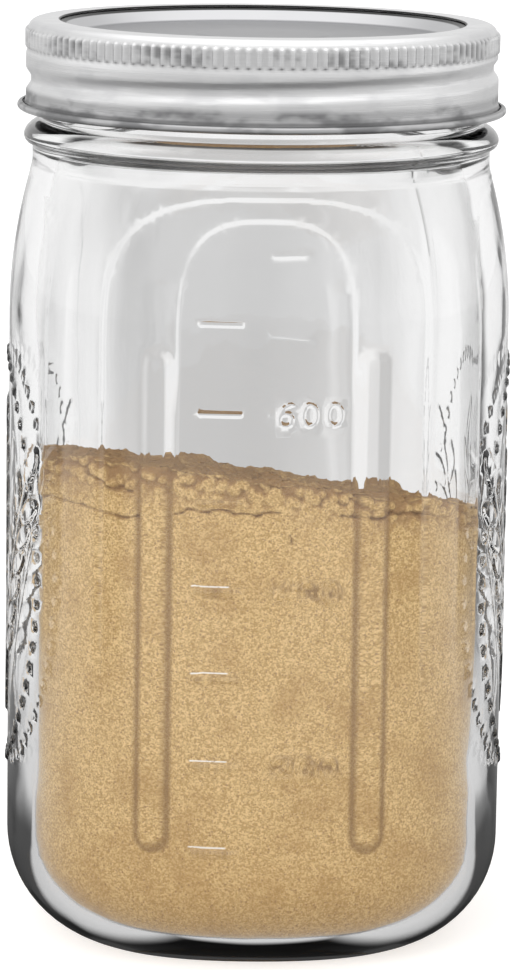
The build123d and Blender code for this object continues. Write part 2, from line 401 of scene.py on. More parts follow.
def glass_material(finish):
    """Clear moulded glass with faint smears, which lets the light on to the starter."""
    made, nodes = material("clear_glass")
    ripple_width, ripple_height, smear_width = 14 * MM, 0.12 * MM, 30 * MM
    here = nodes.place()
    ripple = nodes.clouds(here, ripple_width, 1.0)
    smear = nodes.clouds(here, smear_width, 3.0)
    solid = nodes.surface({
        "Base Color": nodes.mix(smear, finish.glass, finish.glass_deep),
        "Roughness": nodes.soft_step(smear, 0.55, 0.8) * 0.03,
        "Normal": nodes.bump(ripple, ripple_height),
        "IOR": 1.5,
        "Transmission Weight": 1.0,
    })
    unbent = nodes.add("BsdfTransparent", None, {"Color": finish.glass_deep})
    light = nodes.larger(nodes.rays("Shadow"), nodes.rays("Diffuse"))
    both = nodes.add("MixShader", None, {0: light, 1: solid, 2: unbent})
    nodes.tree.links.new(both.socket, nodes.tree.nodes["Material Output"].inputs["Surface"])
    return made


def behind_marks(nodes, marks, x, y, z):
    """Where the ribs and marks of the scale throw soft shade on what lies behind them."""
    rib_shade, dash_shade, number_shade = 0.7, 0.45, 0.8
    aside = abs(abs(x) - marks.rib_spacing / 2)
    below = nodes.larger(marks.first + marks.rib_width / 2 - z, 0)
    away = nodes.maths("SQRT", aside * aside + below * below)
    skirts = nodes.soft_step(away, 1.1 * MM, 2.3 * MM) * nodes.soft_step(away, 3.7 * MM, 2.5 * MM)
    shade = rib_shade * skirts * nodes.soft_step(abs(y) - abs(x), 0, 2 * MM)
    uneven = nodes.clouds(nodes.place(), 1.6 * MM, 2.0)
    # For each row of shades: every how many marks, the middle across and half the width, the
    # height above its mark, half its own height, and the strength
    for every, middle, half, over, tall, strength in (
        (1, marks.dash_x, marks.dash_length / 2, -0.9 * MM, 1.5 * MM, dash_shade),
        (2, marks.number_x + 6 * MM, 6.6 * MM, -0.6 * MM, 2.9 * MM, number_shade),
    ):
        step = marks.step * every
        start = marks.first + marks.step * (every - 1) - step / 2
        level = (z - start) % step - (step / 2 + over)
        patch = nodes.soft_step(abs(level), tall, 0.0)
        patch = patch * nodes.soft_step(abs(x - middle), half + MM, half - 2 * MM)
        patch = patch * nodes.soft_step(y, 0, -MM) * nodes.soft_step(uneven, 0.35, 0.65)
        shade = nodes.larger(shade, strength * patch)
    return shade


def dash_glints(nodes, marks, x, y, z):
    """The thin line of light that each dash in front of dense starter throws just above it."""
    step = marks.step
    above, half_width, soft = 0.25 * MM, 0.08 * MM, 0.16 * MM
    level = (z - (marks.first + above - step / 2)) % step - step / 2
    line = nodes.soft_step(abs(level), half_width + soft, half_width)
    line = line * nodes.soft_step(z, marks.first + 3.5 * step, marks.first + 3.3 * step)
    across = abs(x - (marks.dash_x - MM))
    half_length = marks.dash_length / 2 - 0.6 * MM
    line = line * nodes.soft_step(across, half_length, half_length - 0.5 * MM)
    return line * nodes.soft_step(y, 0, -MM)


def starter_material(finish, marks):
    """Dry flour and starter: pale and dark grains, brownish painted shade in hollows and cracks
    and behind the scale's marks, and painted lines of light at the dashes.
    """
    made, nodes = material("dry_starter")
    grain_size, dust_size, bran_size, patch_size = 0.28 * MM, 0.5 * MM, 1.0 * MM, 9 * MM
    brown = finish.powder_dark
    warm = toned(finish.powder, 0.86, 0.78, 0.70)
    deep = toned(finish.powder, 0.44, 0.37, 0.36)
    here = nodes.place()
    x, y, z = nodes.split(here)
    grain, fleck, *_ = nodes.cells(here, grain_size)
    bran, away = nodes.cells(here, bran_size)[2:]
    patches = nodes.clouds(here, patch_size, 3.0)
    dust = nodes.clouds(here, dust_size, 3.0, 0.6)
    tone = nodes.soft_step(grain * 0.9 + 0.05 + (dust - 0.5) * 1.8, 0.0, 1.1)
    specks = nodes.soft_step(away, 0.25, 0.14) * nodes.soft_step(bran, 0.4, 0.5)
    specks = nodes.larger(specks, nodes.soft_step(fleck, 0.95, 0.99))
    body = nodes.mix(tone, finish.powder, finish.powder_light)
    for share, other in (
        (nodes.soft_step(patches, 0.45, 0.75) * 0.5, warm),
        (behind_marks(nodes, marks, x, y, z), deep),
        (0.75 * dash_glints(nodes, marks, x, y, z), WHITE),
        (0.35 * nodes.soft_step(z, 34 * MM, 8 * MM), warm),
        (specks * 0.7, brown),
        # Painted shade from the "hollow" layer: cracks, pits and the top away from the glass
        (nodes.painted("hollow"), brown),
    ):
        body = nodes.mix(share, body, other)
    nodes.surface({
        "Base Color": body,
        "Roughness": 0.85 + dust * 0.15,
        "Normal": nodes.bump(dust + grain * 0.5, 0.2 * MM),
        "Specular IOR Level": 0.2,
    })
    return made


def brushed(nodes):
    """Streaks round the axis and broad dull patches, for rolled and pressed sheet."""
    streak_width, streak_squash, dull_width, dull_squash = 9 * MM, 40.0, 11 * MM, 2.5
    streaks = nodes.clouds(nodes.place((1.0, 1.0, streak_squash)), streak_width, 4.0, 0.7)
    dull = nodes.clouds(nodes.place((1.0, 1.0, dull_squash)), dull_width, 3.0)
    return streaks, dull


def radius_of(nodes):
    """Distance from the jar's axis."""
    flat = nodes.add(
        "VectorMath", {"operation": "MULTIPLY"}, {0: nodes.place(), 1: (1.0, 1.0, 0.0)}
    )
    return nodes.add("VectorMath", {"operation": "LENGTH"}, {0: flat}, "Value")


def band_material(finish, opening):
    """Satin tinplate, brushed round the band and dull in patches on its skirt, with painted shade
    over the whole skirt, in the crease above the bead and in the gaps between the grip bars.
    """
    made, nodes = material("band_tinplate")
    dull_and_shaded_tin = toned(finish.tin_dark, 0.42)
    streaks, dull = brushed(nodes)
    above = nodes.split(nodes.place())[2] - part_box("screw_band")[0].z
    patch = nodes.soft_step(dull, 0.46, 0.62)
    # Painted shade: the whole skirt is painted darker, more so in the dull patches
    skirt = nodes.soft_step(above, 4.6 * MM, 3.2 * MM)
    # Painted shade in the crease just above the bead and, from the "hollow" layer, in the gaps
    # between the grip bars
    crease = nodes.soft_step(above, 2.2 * MM, 1.7 * MM)
    crease = crease * nodes.soft_step(above, 1.1 * MM, 1.4 * MM)
    shaded = nodes.larger(0.65 * crease, nodes.painted("hollow") * (0.15 + 0.5 * patch))
    metal = nodes.mix(streaks * 0.5 + patch * 0.3, finish.tin, finish.tin_dark)
    metal = nodes.mix(skirt * (0.5 + 0.5 * patch), metal, dull_and_shaded_tin)
    metal = nodes.mix(shaded, metal, toned(dull_and_shaded_tin, 0.4))
    # Dark at the opening: partly the real cut edge of the sheet, partly painted shade of the gap
    # over the lid
    edge = nodes.soft_step(radius_of(nodes), opening + 0.38 * MM, opening + 0.2 * MM)
    nodes.surface({
        "Base Color": nodes.mix(edge, metal, finish.cut_edge_and_gap_shade),
        "Roughness": 0.26 + streaks * 0.12 + patch * 0.08,
        "Normal": nodes.bump(streaks, 0.05 * MM),
        "Metallic": 1.0,
    })
    return made


def lid_material(finish, slope_outer):
    """Tinplate with a darker coated middle, and painted shade where the band's edge overhangs it.
    """
    made, nodes = material("lid_tinplate")
    streaks, dull = brushed(nodes)
    inward = slope_outer - radius_of(nodes)
    coated = nodes.soft_step(inward, 1.9 * MM, 2.4 * MM)
    # Painted shade: the lid is painted dark from just inside the band's opening out to its edge
    band_gap_shade = nodes.soft_step(inward, 0.5 * MM, 0.25 * MM)
    metal = nodes.mix(dull * 0.6, toned(finish.tin_dark, 0.88), finish.tin_dark)
    metal = nodes.mix(coated, metal, finish.lid_face)
    nodes.surface({
        "Base Color": nodes.mix(band_gap_shade, metal, finish.cut_edge_and_gap_shade),
        "Roughness": 0.30 + streaks * 0.10,
        "Normal": nodes.bump(streaks, 0.03 * MM),
        "Metallic": 1.0,
    })
    return made


def seal_material(finish):
    """Soft grey sealing compound, matt with fine pits."""
    made, nodes = material("seal_rubber")
    pits = nodes.clouds(nodes.place(), 0.8 * MM, 3.0)
    nodes.surface({
        "Base Color": nodes.mix(pits, finish.rubber, toned(finish.rubber, 1.25)),
        "Roughness": 0.6 + pits * 0.2,
        "Normal": nodes.bump(pits, 0.05 * MM),
    })
    return made


# Outlines and meshes

def line(start, end, steps):
    """Evenly spaced points (radius, height) from start to end."""
    start, end = Vector(start), Vector(end)
    return [start.lerp(end, i / steps) for i in range(steps + 1)]


def arc(centre, radius, start, end, steps):
    """Points (radius, height) along an arc between two angles in degrees."""
    angles = (math.radians(start + (end - start) * i / steps) for i in range(steps + 1))
    return [Vector(centre) + radius * Vector((math.cos(a), math.sin(a))) for a in angles]


def rounded(corners, radius, steps=4):
    """An open outline with each of its inner corners bent round."""
    corners = [Vector(c) for c in corners]
    points = [corners[0]]
    for before, corner, after in zip(corners, corners[1:], corners[2:]):
        back, ahead = before - corner, after - corner
        reach = min(radius, back.length / 2, ahead.length / 2)
        first = corner + back.normalized() * reach
        last = corner + ahead.normalized() * reach
        for i in range(steps + 1):
            share = i / steps
            points.append(first.lerp(corner, share).lerp(corner.lerp(last, share), share))
    points.append(corners[-1])
    return points


def spun(outline, columns):
    """A bmesh turned round the Z axis from points (radius, height)."""
    bm = bmesh.new()
    chain = []
    for radius, height in outline:
        if not chain or (Vector((radius, 0, height)) - chain[-1].co).length > 0.002 * MM:
            chain.append(bm.verts.new((radius, 0, height)))
    edges = [bm.edges.new(pair) for pair in zip(chain, chain[1:])]
    bmesh.ops.spin(
        bm, geom=chain + edges, cent=(0, 0, 0), axis=(0, 0, 1), angle=math.tau,
        steps=columns, use_merge=True,
    )
    bmesh.ops.remove_doubles(bm, verts=bm.verts, dist=0.001 * MM)
    bmesh.ops.recalc_face_normals(bm, faces=bm.faces)
    return bm


def places(items):
    """The places of vertices as an array."""
    return np.array([v.co for v in items], float).reshape(-1, 3)


def halve(bm, edges):
    """Cuts edges in two, and leaves no face with more than four corners."""
    bmesh.ops.subdivide_edges(bm, edges=edges, cuts=1, use_grid_fill=True)
    wide = [f for f in bm.faces if len(f.verts) > 4]
    bmesh.ops.triangulate(bm, faces=wide)


def refine(bm, height, tolerance, rounds):
    """Cuts the edges over which the height bends, until the mesh can carry it."""
    for _ in range(rounds):
        edges = list(bm.edges)
        first = places([e.verts[0] for e in edges])
        last = places([e.verts[1] for e in edges])
        at_first, at_last = height(first), height(last)
        bend = np.zeros(len(edges))
        for share in (0.25, 0.5, 0.75):
            between = height(first + (last - first) * share)
            bend = np.maximum(bend, abs(between - at_first - (at_last - at_first) * share))
        halve(bm, [e for e, b in zip(edges, bend) if b > tolerance])


def refine_long(bm, longest, where):
    """Cuts once each edge over a length whose ends are both in a region."""
    halve(bm, [
        e for e in bm.edges
        if e.calc_length() > longest and where(e.verts[0].co) and where(e.verts[1].co)
    ])


def paint_shade(bm, values):
    """Writes on each vertex how much painted shade it gets, for the materials."""
    layer = bm.verts.layers.float.new("hollow")
    for vertex, value in zip(bm.verts, values):
        vertex[layer] = value


def piece(name, bm, made, body, node, sharp=False):
    """The finished piece in its node's place, on its body."""
    mesh = bpy.data.meshes.new(name)
    bm.to_mesh(mesh)
    bm.free()
    mesh.materials.append(made)
    mesh.shade_smooth()
    if sharp:
        mesh.set_sharp_from_angle(angle=SHARP_ANGLE)
    thing = bpy.data.objects.new(name, mesh)
    bpy.context.scene.collection.objects.link(thing)
    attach(thing, body)
    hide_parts(node)


# Relief: distances are in metres, negative inside an outline

def smooth(low, high, value):
    """0 below low and 1 above high, smooth between."""
    share = np.clip((value - low) / (high - low), 0, 1)
    return share * share * (3 - 2 * share)


def inside(distance, ramp):
    """1 inside an outline and 0 outside it, with a soft ramp on the outline."""
    return 1 - smooth(-ramp / 2, ramp / 2, distance)


def to_line(u, z, points):
    """Distance to a line through some points."""
    nearest = np.full(np.shape(u), np.inf)
    for (u0, z0), (u1, z1) in zip(points, points[1:]):
        du, dz = u1 - u0, z1 - z0
        along = np.clip(((u - u0) * du + (z - z0) * dz) / (du * du + dz * dz), 0, 1)
        nearest = np.minimum(nearest, np.hypot(u - u0 - along * du, z - z0 - along * dz))
    return nearest


def to_oval(u, z, centre, half_width, half_height, turn=0.0):
    """Distance to an oval that is turned clockwise."""
    du, dz = u - centre[0], z - centre[1]
    across = du * math.cos(turn) - dz * math.sin(turn)
    along = du * math.sin(turn) + dz * math.cos(turn)
    return (np.hypot(across / half_width, along / half_height) - 1) * min(half_width, half_height)


def to_arch(u, z, half_width, spring, crown):
    """Distance to a field that is open below and round above, with full shoulders."""
    above = np.maximum(z - spring, 0) / (crown - spring)
    return (np.cbrt(abs(u / half_width) ** 3 + above**3) - 1) * half_width


def bent(centre, half_width, half_height, start, end, steps=8):
    """Points along part of an oval, with angles in degrees."""
    angles = (math.radians(start + (end - start) * i / steps) for i in range(steps + 1))
    return [
        (centre[0] + half_width * math.cos(a), centre[1] + half_height * math.sin(a))
        for a in angles
    ]


# Lines of the numerals in a cell one wide and one high
NUMERALS = {
    "0": [bent((0.5, 0.5), 0.45, 0.5, 0, 360, 14)],
    "2": [bent((0.5, 0.68), 0.42, 0.32, 165, -35) + [(0.05, 0.0), (0.95, 0.0)]],
    "4": [[(0.72, 0.0), (0.72, 1.0), (0.05, 0.32), (1.0, 0.32)]],
    "6": [
        bent((0.5, 0.3), 0.43, 0.3, 0, 360, 12),
        [(0.8, 1.0)] + bent((0.75, 0.3), 0.68, 0.62, 120, 180, 5),
    ],
}


class GlassForm:
    """The outline of the glass, and the places that follow from its sizes."""

    # Depth of the side panels beside the front one
    SIDE_SHARE = 0.45

    def __init__(self, settings):
        sizes = settings.glass
        self.sizes = sizes
        self.marks = settings.marks
        self.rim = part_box("glass_jar")[1].z
        self.body = sizes.flat_half + sizes.corner_swell / 2
        self.root = sizes.mouth + sizes.finish_wall
        self.skirt = self.root + sizes.neck_step
        self.shoulder_top = sizes.body_top + sizes.shoulder
        self.ring_bottom = self.shoulder_top + sizes.skirt
        self.ring_top = self.ring_bottom + sizes.ring
        self.ring_middle = (self.ring_bottom + self.ring_top) / 2
        self.ring_bulge = sizes.ring_proud + sizes.neck_step / 2
        self.heel_centre = self.body - sizes.heel

    def drawn_in(self, z):
        """How far up the shoulder a height is, from 0 to 1."""
        return np.clip((z - self.sizes.body_top) / self.sizes.shoulder, 0, 1)

    def outside(self, z):
        """Mean radius of the outer surface at a height."""
        sizes = self.sizes
        below = np.clip(sizes.heel - z, 0, sizes.heel)
        heel = self.heel_centre + np.sqrt(sizes.heel**2 - below**2)
        shoulder = self.body - (self.body - self.skirt) * self.drawn_in(z) ** 2
        share = np.clip((z - self.ring_bottom) / sizes.ring, 0, 1)
        neck = self.skirt + (self.root - self.skirt) * share
        neck = neck + self.ring_bulge * np.sqrt(1 - (2 * share - 1) ** 2)
        return np.where(z < sizes.heel, heel, np.where(z < self.shoulder_top, shoulder, neck))

    def outline(self):
        """From the axis under the foot, up the outside, over the rim and down inside."""
        sizes = self.sizes
        dome = (sizes.foot**2 + sizes.push_up**2) / (2 * sizes.push_up)
        points = []
        for i in range(10):
            radius = sizes.foot * i / 9
            points.append((radius, sizes.push_up - dome + math.sqrt(dome**2 - radius**2)))
        points += line((sizes.foot, 0), (self.heel_centre, 0), 2)
        points += arc((self.heel_centre, sizes.heel), sizes.heel, -90, 0, 18)
        heights = [sizes.heel + (sizes.body_top - sizes.heel) * i / 50 for i in range(51)]
        heights += [sizes.body_top + sizes.shoulder * i / 20 for i in range(21)]
        heights += [self.shoulder_top + sizes.skirt * i / 3 for i in range(4)]
        half = sizes.ring / 2
        heights += [self.ring_middle - half * math.cos(math.pi * i / 16) for i in range(17)]
        points += [(float(self.outside(z)), z) for z in heights]
        top, turn = self.rim - sizes.rim_round, sizes.rim_round
        points += line((self.root, self.ring_top), (self.root, top), 16)
        points += arc((self.root - turn, top), turn, 0, 90, 5)
        points += arc((sizes.mouth + turn, top), turn, 90, 180, 5)
        points += line((sizes.mouth, top), (sizes.mouth, self.ring_top), 4)
        inner_body, inner_neck = self.body - sizes.wall, self.skirt - sizes.wall
        for i in range(20, -1, -1):
            share = i / 20
            radius = inner_body - (inner_body - inner_neck) * share**2
            points.append((radius, sizes.body_top + sizes.shoulder * share))
        turn = sizes.heel - sizes.wall
        points += line((inner_body, sizes.body_top), (inner_body, sizes.floor + turn), 30)
        points += arc((inner_body - turn, sizes.floor + turn), turn, 0, -90, 12)
        points += line((self.heel_centre, sizes.floor), (0, sizes.floor), 6)
        return points

    def squareness(self, radius, z):
        """How much of the four-sided shape there is: none at the foot and in the neck."""
        return smooth(self.sizes.foot, self.heel_centre, radius) * (1 - self.drawn_in(z) ** 2)

    def four_sided(self, points, share):
        """How much further out than the mean a point lies, at its angle."""
        angle = np.arctan2(points[:, 1], points[:, 0])
        return -share * self.sizes.corner_swell / 2 * np.cos(4 * angle)

    def scale(self, u, z, numbered):
        """Ribs, dashes and numbers of the scale."""
        marks = self.marks
        height = np.zeros(np.shape(u))
        for side in (-1, 1):
            x = side * marks.rib_spacing / 2
            half = marks.rib_width / 2
            rib = to_line(u, z, [(x, marks.first + half), (x, marks.rib_top - half)]) - half
            height = np.maximum(height, marks.rib_height * inside(rib, 2.3 * MM))
        for i in range(marks.count):
            level = marks.first + marks.step * i
            half = (marks.dash_length - marks.dash_width) / 2
            ends = [(marks.dash_x - half, level), (marks.dash_x + half, level)]
            dash = to_line(u, z, ends) - marks.dash_width / 2
            height = np.maximum(height, marks.raise_marks * inside(dash, 0.4 * MM))
            if i % 2 and numbered:
                height = np.maximum(height, self.numerals(u, z, str(100 * (i + 1)), level))
        return height

    def numerals(self, u, z, text, level):
        """A number beside its mark."""
        marks = self.marks
        height = np.zeros(np.shape(u))
        for i, numeral in enumerate(text):
            left = marks.number_x + marks.number_pitch * i
            for stroke in NUMERALS[numeral]:
                points = [
                    (left + marks.number_width * x, level + marks.number_height * (y - 0.5))
                    for x, y in stroke
                ]
                distance = to_line(u, z, points) - marks.number_stroke / 2
                height = np.maximum(height, marks.raise_marks * inside(distance, 0.5 * MM))
        return height

    def ear(self, u, z):
        """An ear of wheat that stands on the origin."""
        marks = self.marks
        stem, pairs, pitch, lean = 0.8 * MM, 6, 6.0 * MM, math.radians(27)
        tip = marks.ear_height - marks.grain_length
        half_width, half_length = marks.grain_width / 2, marks.grain_length / 2
        nearest = to_line(u, z, [(0, stem), (0, tip)]) - stem
        grain = to_oval(u, z, (0, tip + half_length), half_width, half_length)
        nearest = np.minimum(nearest, grain)
        for i in range(pairs):
            level = tip - half_length - pitch * i
            for side in (-1, 1):
                centre = (side * 0.8 * marks.grain_width, level)
                grain = to_oval(u, z, centre, half_width, half_length, side * lean)
                nearest = np.minimum(nearest, grain)
        return nearest

    def ornament(self, u, z):
        """Three ears of wheat in an oval of beads."""
        marks = self.marks
        middle = (marks.first + self.sizes.body_top) / 2
        foot = middle - marks.ear_height / 2
        nearest = np.full(np.shape(u), np.inf)
        for lean in (-marks.ear_lean, 0.0, marks.ear_lean):
            across = u * math.cos(lean) - (z - foot) * math.sin(lean)
            along = u * math.sin(lean) + (z - foot) * math.cos(lean)
            nearest = np.minimum(nearest, self.ear(across, along))
        for centre in bent((0, middle), marks.bead_oval, 1.5 * marks.bead_oval, 0, 360, 56)[1:]:
            nearest = np.minimum(nearest, to_oval(u, z, centre, marks.bead_size, marks.bead_size))
        return marks.ear_raise * inside(nearest, 0.8 * MM)

    def panel(self, u, z):
        """The flattened side lies a little back inside its arched edge."""
        marks = self.marks
        edge = to_arch(u, z, marks.panel_half, marks.panel_spring, marks.panel_crown)
        shape = -marks.panel_step * inside(edge, 0.75 * MM)
        return shape * smooth(marks.panel_foot, 2 * marks.panel_foot, z)

    def field(self, u, z):
        """The scale's own field, arched over the ribs."""
        marks = self.marks
        edge = to_arch(u, z, marks.arch_half, marks.arch_spring, marks.arch_crown)
        shape = -marks.panel_step * inside(edge, 0.7 * MM)
        return shape * smooth(marks.arch_spring - 14 * MM, marks.arch_spring - 4 * MM, z)

    def thread(self, points):
        """The thread of the finish, a turn and a bit, fading at both ends."""
        sizes = self.sizes
        z = points[:, 2]
        turned = np.mod(np.arctan2(points[:, 1], points[:, 0]) - sizes.thread_start, math.tau)
        low = self.rim - sizes.thread_below_rim
        height = np.zeros(len(points))
        for turn in (0, 1):
            share = turned / math.tau + turn
            distance = abs(z - low - sizes.thread_pitch * share) - sizes.thread_height / 2
            ends = smooth(0, 0.03, share) * (1 - smooth(-0.03, 0, share - sizes.thread_turns))
            shape = sizes.thread_height * inside(distance, 0.7 * MM) * ends
            height = np.maximum(height, shape)
        return height

    def seam(self, points):
        """The mould's seam on a corner of the shoulder, and its line round the neck's foot."""
        sizes = self.sizes
        turn = sizes.seam_turn - math.pi / 2
        across = points[:, 0] * math.sin(turn) - points[:, 1] * math.cos(turn)
        z = points[:, 2]
        along = smooth(sizes.body_top - 30 * MM, self.shoulder_top, z)
        along = along * (1 - smooth(self.ring_top - MM, self.ring_top, z)) * (points[:, 1] < 0)
        line = sizes.seam * along * inside(abs(across) - 0.25 * MM, 0.4 * MM)
        parting = inside(abs(z - self.shoulder_top) - 0.2 * MM, 0.5 * MM)
        return np.maximum(line, sizes.parting * parting)

    def is_outer(self, points):
        """Which places lie on the outer surface above the foot."""
        radius = np.hypot(points[:, 0], points[:, 1])
        near = abs(radius - self.outside(points[:, 2])) < 0.05 * MM
        return near & (points[:, 2] > MM) & (points[:, 2] < self.rim - self.sizes.rim_round)

    def relief(self, points):
        """How far the outer surface stands out at each place."""
        x, y, z = points.T
        height = np.zeros(len(points))
        for side in range(4):
            share = (1.0, self.SIDE_SHARE, self.marks.back_share, self.SIDE_SHARE)[side]
            turn = math.pi / 2 * side
            u = x * math.cos(turn) + y * math.sin(turn)
            depth = x * math.sin(turn) - y * math.cos(turn)
            here = depth > abs(u)
            if side % 2:
                marks = self.ornament(u[here], z[here])
            else:
                marks = self.scale(u[here], z[here], side == 0)
                marks = share * (marks + self.field(u[here], z[here]))
            height[here] = marks + share * self.panel(u[here], z[here])
        height = height + self.seam(points)
        height = np.where(z > self.ring_top, self.thread(points), height)
        return np.where(self.is_outer(points), height, 0)

    def waves(self, points):
        """How uneven the inner surface is, with none of it in the finish."""
        sizes = self.sizes
        height = np.array([
            noise.noise(Vector(p) / sizes.wave_length)
            + 0.3 * noise.noise(Vector(p) / sizes.wave_length * 2.7)
            for p in points
        ])
        return sizes.wave * height * (1 - smooth(self.shoulder_top, self.ring_top, points[:, 2]))


def move_out(bm, amount):
    """Moves each vertex away from the axis by its amount."""
    for vertex, distance in zip(bm.verts, amount):
        flat = Vector((vertex.co.x, vertex.co.y, 0))
        if flat.length > MM:
            vertex.co += flat.normalized() * distance


# Operators

class STARTERJAR_OT_glass(Operator):
    """Add the moulded glass jar with its scale, thread and ornament"""

    bl_idname = "starterjar.glass"
    bl_label = "Glass Jar"
    bl_options = {"REGISTER", "UNDO"}

    def execute(self, context):
        settings = context.scene.starter_jar
        form = GlassForm(settings)
        bm = spun(form.outline(), columns=192)
        refine(bm, form.relief, tolerance=0.02 * MM, rounds=3)
        points = places(bm.verts)
        radius = np.hypot(points[:, 0], points[:, 1])
        outer = form.is_outer(points)
        to_surface = np.where(outer, form.outside(points[:, 2]) - radius, 0)
        share = form.squareness(radius, points[:, 2])
        inner = radius < form.outside(points[:, 2]) - MM
        inner &= points[:, 2] > settings.glass.floor + MM
        waves = np.where(inner, form.waves(points), 0)
        relief = form.relief(points) + form.four_sided(points, share)
        move_out(bm, to_surface + relief + waves)
        clear = glass_material(settings.finish)
        piece("jar_glass", bm, clear, "jar", "glass_jar")
        return {"FINISHED"}


class PowderForm:
    """The shape of the powder: heaps, lumps, crumbs, cracks and pits."""

    PIT_WIDTH, PIT_DEPTH = 1.7 * MM, 0.9 * MM
    # Heaps and hollows of the top: place, height and width, in millimetres
    HEAPS = [
        (-12, 38, 2.0, 6), (27, 33, 2.2, 6), (-40, -16, -2.3, 8), (30, -30, 1.0, 6),
        (-2, -22, -2.6, 9), (12, -14, -2.0, 8), (-25, 0, 1.2, 9),
    ]
    # Cracks behind the scale's side: places (x, z) along each, in millimetres
    CRACKS = [
        [(-40, 87.3), (-37.5, 88.2), (-33, 87.9), (-29.5, 87.3), (-22, 86.8)],
        [(-31.5, 94.0), (-28, 92.3), (-23.5, 91.8)],
        [(-16, 87.9), (-14, 88.8), (-9, 89.0), (-1.5, 88.4), (3, 88.8)],
        [(14, 88.0), (20, 87.4), (27, 87.9), (33, 86.0)],
        [(4.8, 84.6), (5.2, 83.2)],
    ]

    def __init__(self, settings):
        self.glass = GlassForm(settings)
        self.sizes = settings.starter
        sizes = settings.glass
        self.turn = sizes.heel - sizes.wall - self.sizes.gap
        self.bottom = sizes.floor + self.sizes.gap
        self.wall = self.glass.body - sizes.wall - self.sizes.gap
        self.heel_top = self.bottom + self.turn
        self.dense_from = self.sizes.level - 1.8 * self.sizes.loose

    def outline(self):
        """From the axis at the bottom, up the side and in again over a level top."""
        level = self.sizes.level
        points = line((0, self.bottom), (self.wall - self.turn, self.bottom), 6)
        points += arc((self.wall - self.turn, self.heel_top), self.turn, -90, 0, 10)
        points += line((self.wall, self.heel_top), (self.wall, self.dense_from), 24)
        points += line((self.wall, self.dense_from), (self.wall, level), 32)
        points += line((self.wall, level), (0, level), 84)
        return points

    def slope(self, x, y):
        """The top without its lumps."""
        sizes = self.sizes
        height = sizes.level - sizes.fall_right * x - sizes.fall_back * y
        for at_x, at_y, rise, width in self.HEAPS:
            away = math.hypot(x - at_x * MM, y - at_y * MM) / (width * MM)
            height += rise * MM * math.exp(-away * away)
        return height

    def rough(self, x, y):
        """Lumps and crumbs of the top."""
        sizes = self.sizes
        here = Vector((x, y, 0))
        lumps = noise.noise(here / (8 * MM)) + 0.6 * noise.noise(here / (3.6 * MM))
        crumbs = 0.5 - noise.voronoi(here / (2.1 * MM))[0][0]
        crumbs += 0.5 * noise.noise(here / (0.8 * MM))
        return sizes.lumps * lumps + sizes.crumbs * crumbs

    def cracked(self, points):
        """How deep in a crack each place of the side is, from 0 to 1."""
        x, y, z = points.T
        wander = np.array([noise.noise(Vector((a / 2.2, b / 2.2, 0)) / MM) for a, b in zip(x, z)])
        z = z + 0.7 * MM * wander
        depth = np.zeros(len(points))
        for crack in self.CRACKS:
            path = [(a * MM, b * MM) for a, b in crack]
            width = (0.1 + 0.9 * abs(wander)) * MM
            depth = np.maximum(depth, inside(to_line(x, z, path) - width / 2, 0.45 * MM))
        near_glass = np.hypot(x, y) >= self.wall - 3 * MM
        return np.where((y < 0) & near_glass, depth, 0)

    def pitted(self, points):
        """How deep in a pit each place is, from 0 to 1."""
        here = [Vector(p) for p in points]
        away = np.array([noise.voronoi(p / self.PIT_WIDTH)[0][0] for p in here])
        uneven = np.array([noise.noise(p / (5 * MM)) for p in here])
        return smooth(0.38, 0.74, away + 0.25 * uneven)

    def loosened(self, points):
        """How far up in the crumbly layer each place is, from 0 to 1."""
        top = np.array([self.slope(x, y) for x, y, _ in points])
        return smooth(top - self.sizes.loose, top + MM, points[:, 2])

    def painted_shade(self, points, cracks, pits, loose):
        """How much painted shade each place gets: in cracks and pits, and most on the top away
        from the glass.
        """
        values = []
        for point, crack, pit, near in zip(points, cracks, pits, loose):
            place = Vector(point)
            top = 0.16
            if place.xy.length < self.wall - 2 * MM:
                top = 0.55 - 0.35 * noise.noise(place / (4 * MM))
            values.append(min(0.85, 0.75 * crack + 1.1 * pit * near + top * near))
        return values


class STARTERJAR_OT_starter(Operator):
    """Add the dry starter with its uneven top and its cracks"""

    bl_idname = "starterjar.starter"
    bl_label = "Dry Starter"
    bl_options = {"REGISTER", "UNDO"}

    def execute(self, context):
        settings = context.scene.starter_jar
        form = PowderForm(settings)
        sizes = settings.starter
        bm = spun(form.outline(), columns=224)
        refine_long(bm, 0.62 * MM, lambda p: p.z > form.dense_from)
        rim = form.wall - 7 * MM
        refine_long(
            bm, 0.4 * MM,
            lambda p: p.z > form.dense_from and p.y < -0.5 * rim and p.xy.length > rim,
        )
        points = places(bm.verts)
        radius = np.hypot(points[:, 0], points[:, 1])
        share = form.glass.squareness(radius, points[:, 2])
        move_out(bm, form.glass.four_sided(points, share) * radius / form.wall)
        for vertex in bm.verts:
            x, y, z = vertex.co
            rise = max(0.0, (z - form.heel_top) / (sizes.level - form.heel_top))
            edge = min(1.0, max(0.0, (z - form.dense_from) / (sizes.level - form.dense_from)))
            vertex.co.z += rise * (form.slope(x, y) - sizes.level) + edge**3 * form.rough(x, y)
        points = places(bm.verts)
        cracks, pits, loose = form.cracked(points), form.pitted(points), form.loosened(points)
        move_out(bm, -cracks * sizes.crack - pits * loose * form.PIT_DEPTH)
        # Painted shade in the cracks, the pits and the top away from the glass, in the "hollow"
        # layer
        paint_shade(bm, form.painted_shade(places(bm.verts), cracks, pits, loose))
        powder = starter_material(settings.finish, settings.marks)
        piece("starter_powder", bm, powder, "jar", "starter_fill")
        return {"FINISHED"}


